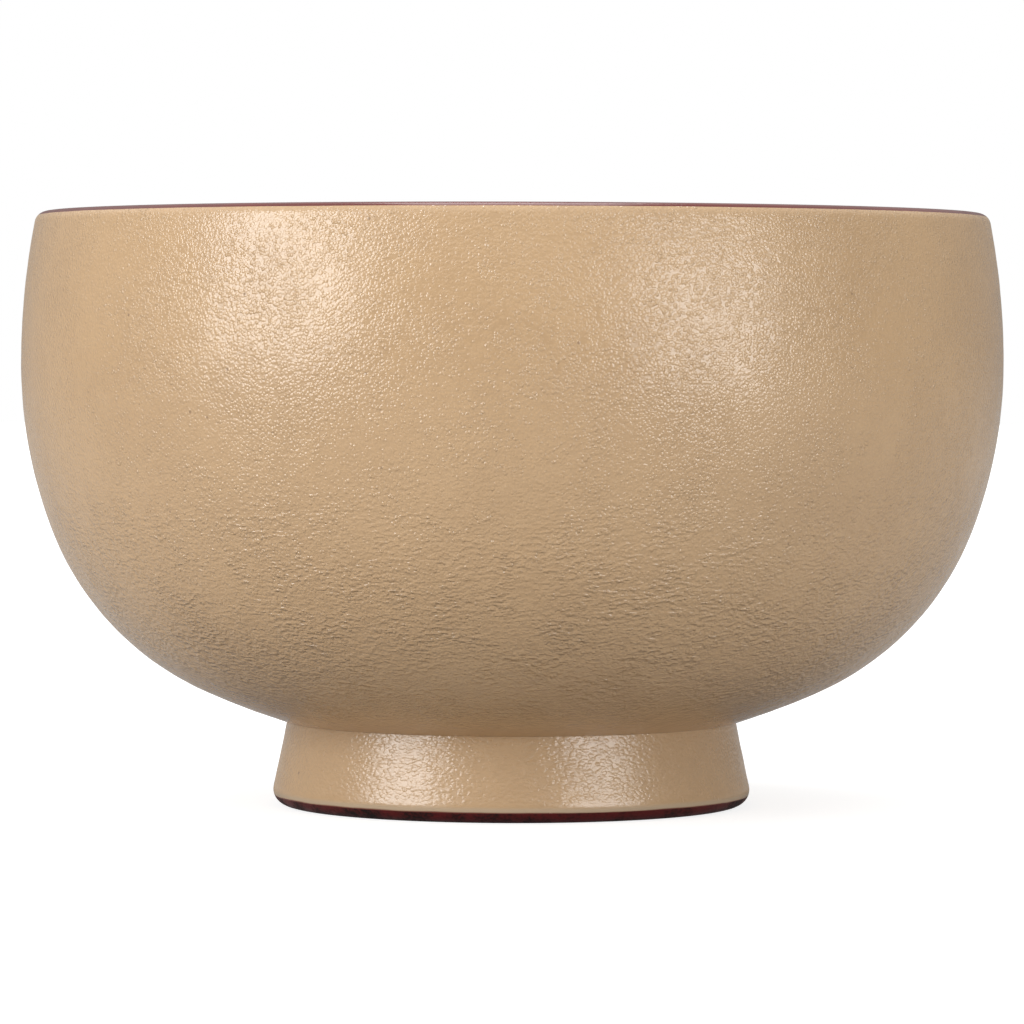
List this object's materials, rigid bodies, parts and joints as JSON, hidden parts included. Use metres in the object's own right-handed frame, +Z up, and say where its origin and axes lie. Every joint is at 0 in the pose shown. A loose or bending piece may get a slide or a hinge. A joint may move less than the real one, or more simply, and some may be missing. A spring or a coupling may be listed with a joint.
{
  "type": "lacquer soup bowl",
  "caption": "Round footed soup bowl of turned wood under crinkled sand-coloured lacquer, with dark red lacquer inside, over the lip and under the flared foot.",
  "frame": {"origin": "middle of the sole, on the surface that the bowl stands on", "axes": "+Z up along the bowl's axis; the bowl is round, so X and Y are any two level directions"},
  "size_m": [0.12, 0.12, 0.0724],
  "materials": {
    "turned_wood": "turned, unfinished",
    "ground_cloth": "plain weave set in lacquer",
    "sand_lacquer": "satin lacquer with a fine crinkled skin",
    "red_lacquer": "glossy dark red lacquer"
  },
  "bodies": {
    "root": {"wood_core": "turned_wood", "rim_cloth": "ground_cloth", "foot_cloth": "ground_cloth", "well_cloth": "ground_cloth", "outer_coat": "sand_lacquer", "inner_coat": "red_lacquer", "sole_coat": "red_lacquer"}
  },
  "joints": []
}
